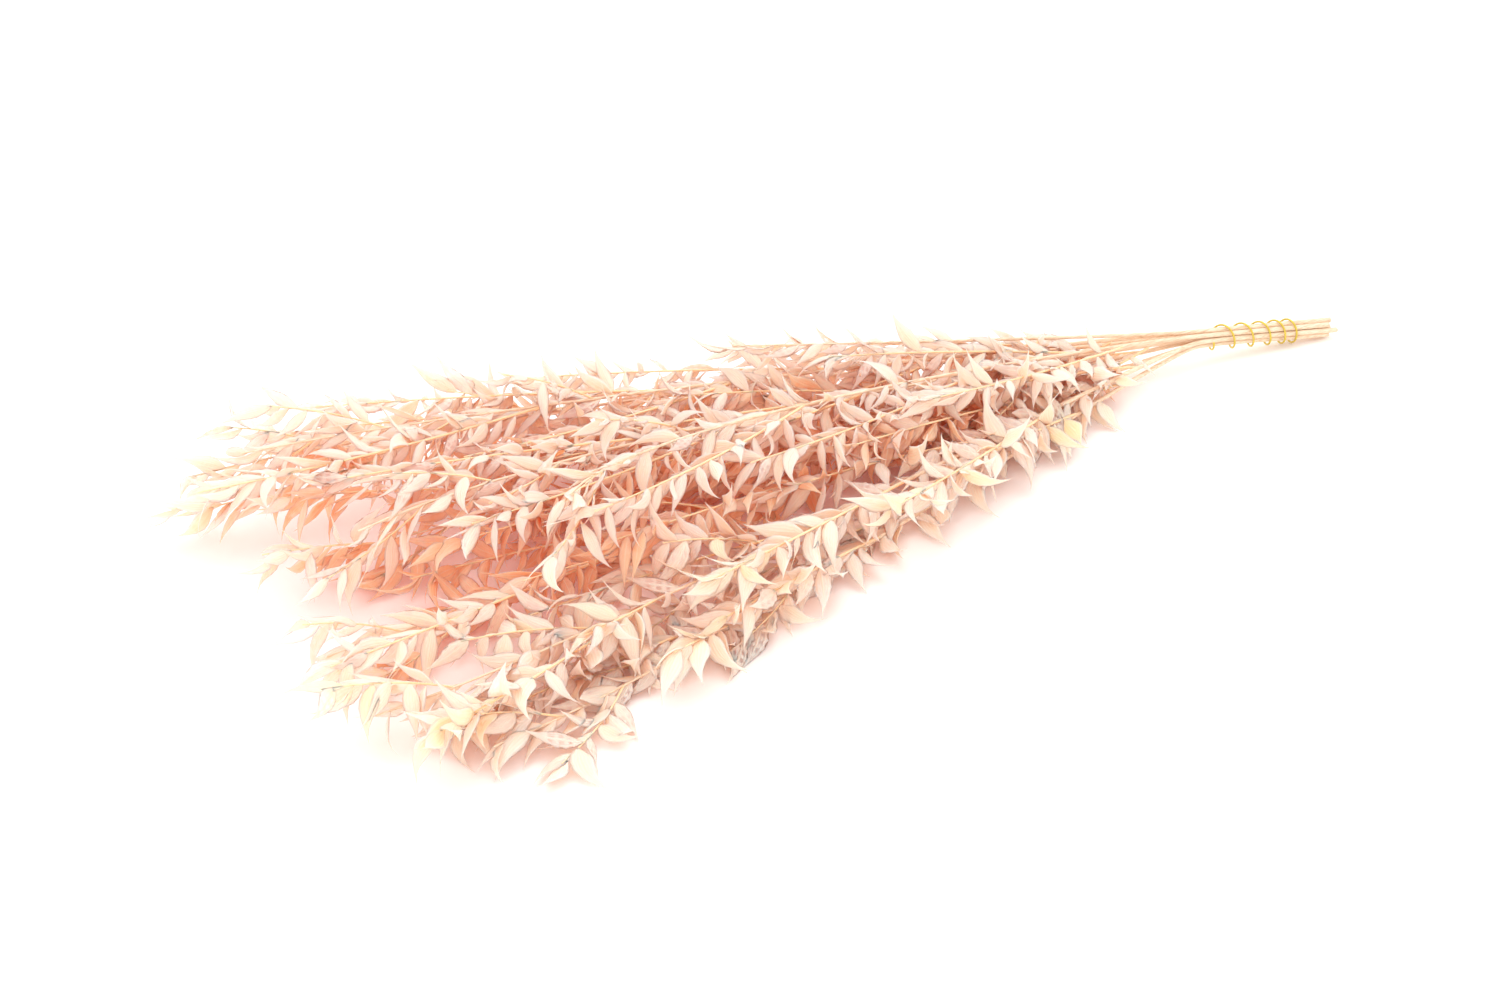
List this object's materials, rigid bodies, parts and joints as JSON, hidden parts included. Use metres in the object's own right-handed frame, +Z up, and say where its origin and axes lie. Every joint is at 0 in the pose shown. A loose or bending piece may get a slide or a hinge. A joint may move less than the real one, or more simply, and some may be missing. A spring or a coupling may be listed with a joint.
{
  "type": "bundle of dried ruscus",
  "caption": "Bundle of bleached dried ruscus lying on its side: leafy stems that fan out from a bare handle held by a coil of wire.",
  "frame": {"origin": "on the surface the bundle lies on, under the middle of its box", "axes": "+X towards the cut ends of the stems, -X towards the leafy tips, +Z up"},
  "size_m": [0.7622, 0.3784, 0.0876],
  "materials": {
    "cane": "bleached, dull",
    "leaf": "bleached and dyed pale pink, dull, thin",
    "wire": "gold coloured, satin"
  },
  "bodies": {
    "root": {"shoot_1_1": "leaf", "shoot_1_2": "leaf", "shoot_1_3": "leaf", "shoot_1_4": "leaf", "shoot_1_5": "leaf", "shoot_1_6": "leaf", "shoot_2_1": "leaf", "shoot_3_1": "leaf", "shoot_3_2": "leaf", "shoot_3_3": "leaf", "shoot_3_4": "leaf", "shoot_3_5": "leaf", "shoot_3_6": "leaf", "shoot_3_7": "leaf", "shoot_4_1": "leaf", "shoot_4_2": "leaf", "shoot_4_3": "leaf", "shoot_4_4": "leaf", "shoot_4_5": "leaf", "shoot_4_6": "leaf", "shoot_4_7": "leaf", "shoot_5_1": "leaf", "shoot_5_2": "leaf", "shoot_5_3": "leaf", "shoot_5_4": "leaf", "shoot_5_5": "leaf", "shoot_5_6": "leaf", "shoot_5_7": "leaf", "shoot_6_1": "leaf", "shoot_6_2": "leaf", "shoot_6_3": "leaf", "shoot_6_4": "leaf", "shoot_6_5": "leaf", "shoot_6_6": "leaf", "shoot_7_1": "leaf", "shoot_7_2": "leaf", "shoot_7_3": "leaf", "shoot_7_4": "leaf", "shoot_7_5": "leaf", "shoot_8_1": "leaf", "shoot_8_2": "leaf", "shoot_8_3": "leaf", "shoot_8_4": "leaf", "shoot_8_5": "leaf", "shoot_8_6": "leaf", "shoot_9_1": "leaf", "shoot_9_2": "leaf", "shoot_9_3": "leaf", "shoot_9_4": "leaf", "shoot_9_5": "leaf", "stem_1": "cane", "stem_2": "cane", "stem_3": "cane", "stem_4": "cane", "stem_5": "cane", "stem_6": "cane", "stem_7": "cane", "stem_8": "cane", "stem_9": "cane", "tie": "wire"}
  },
  "joints": []
}
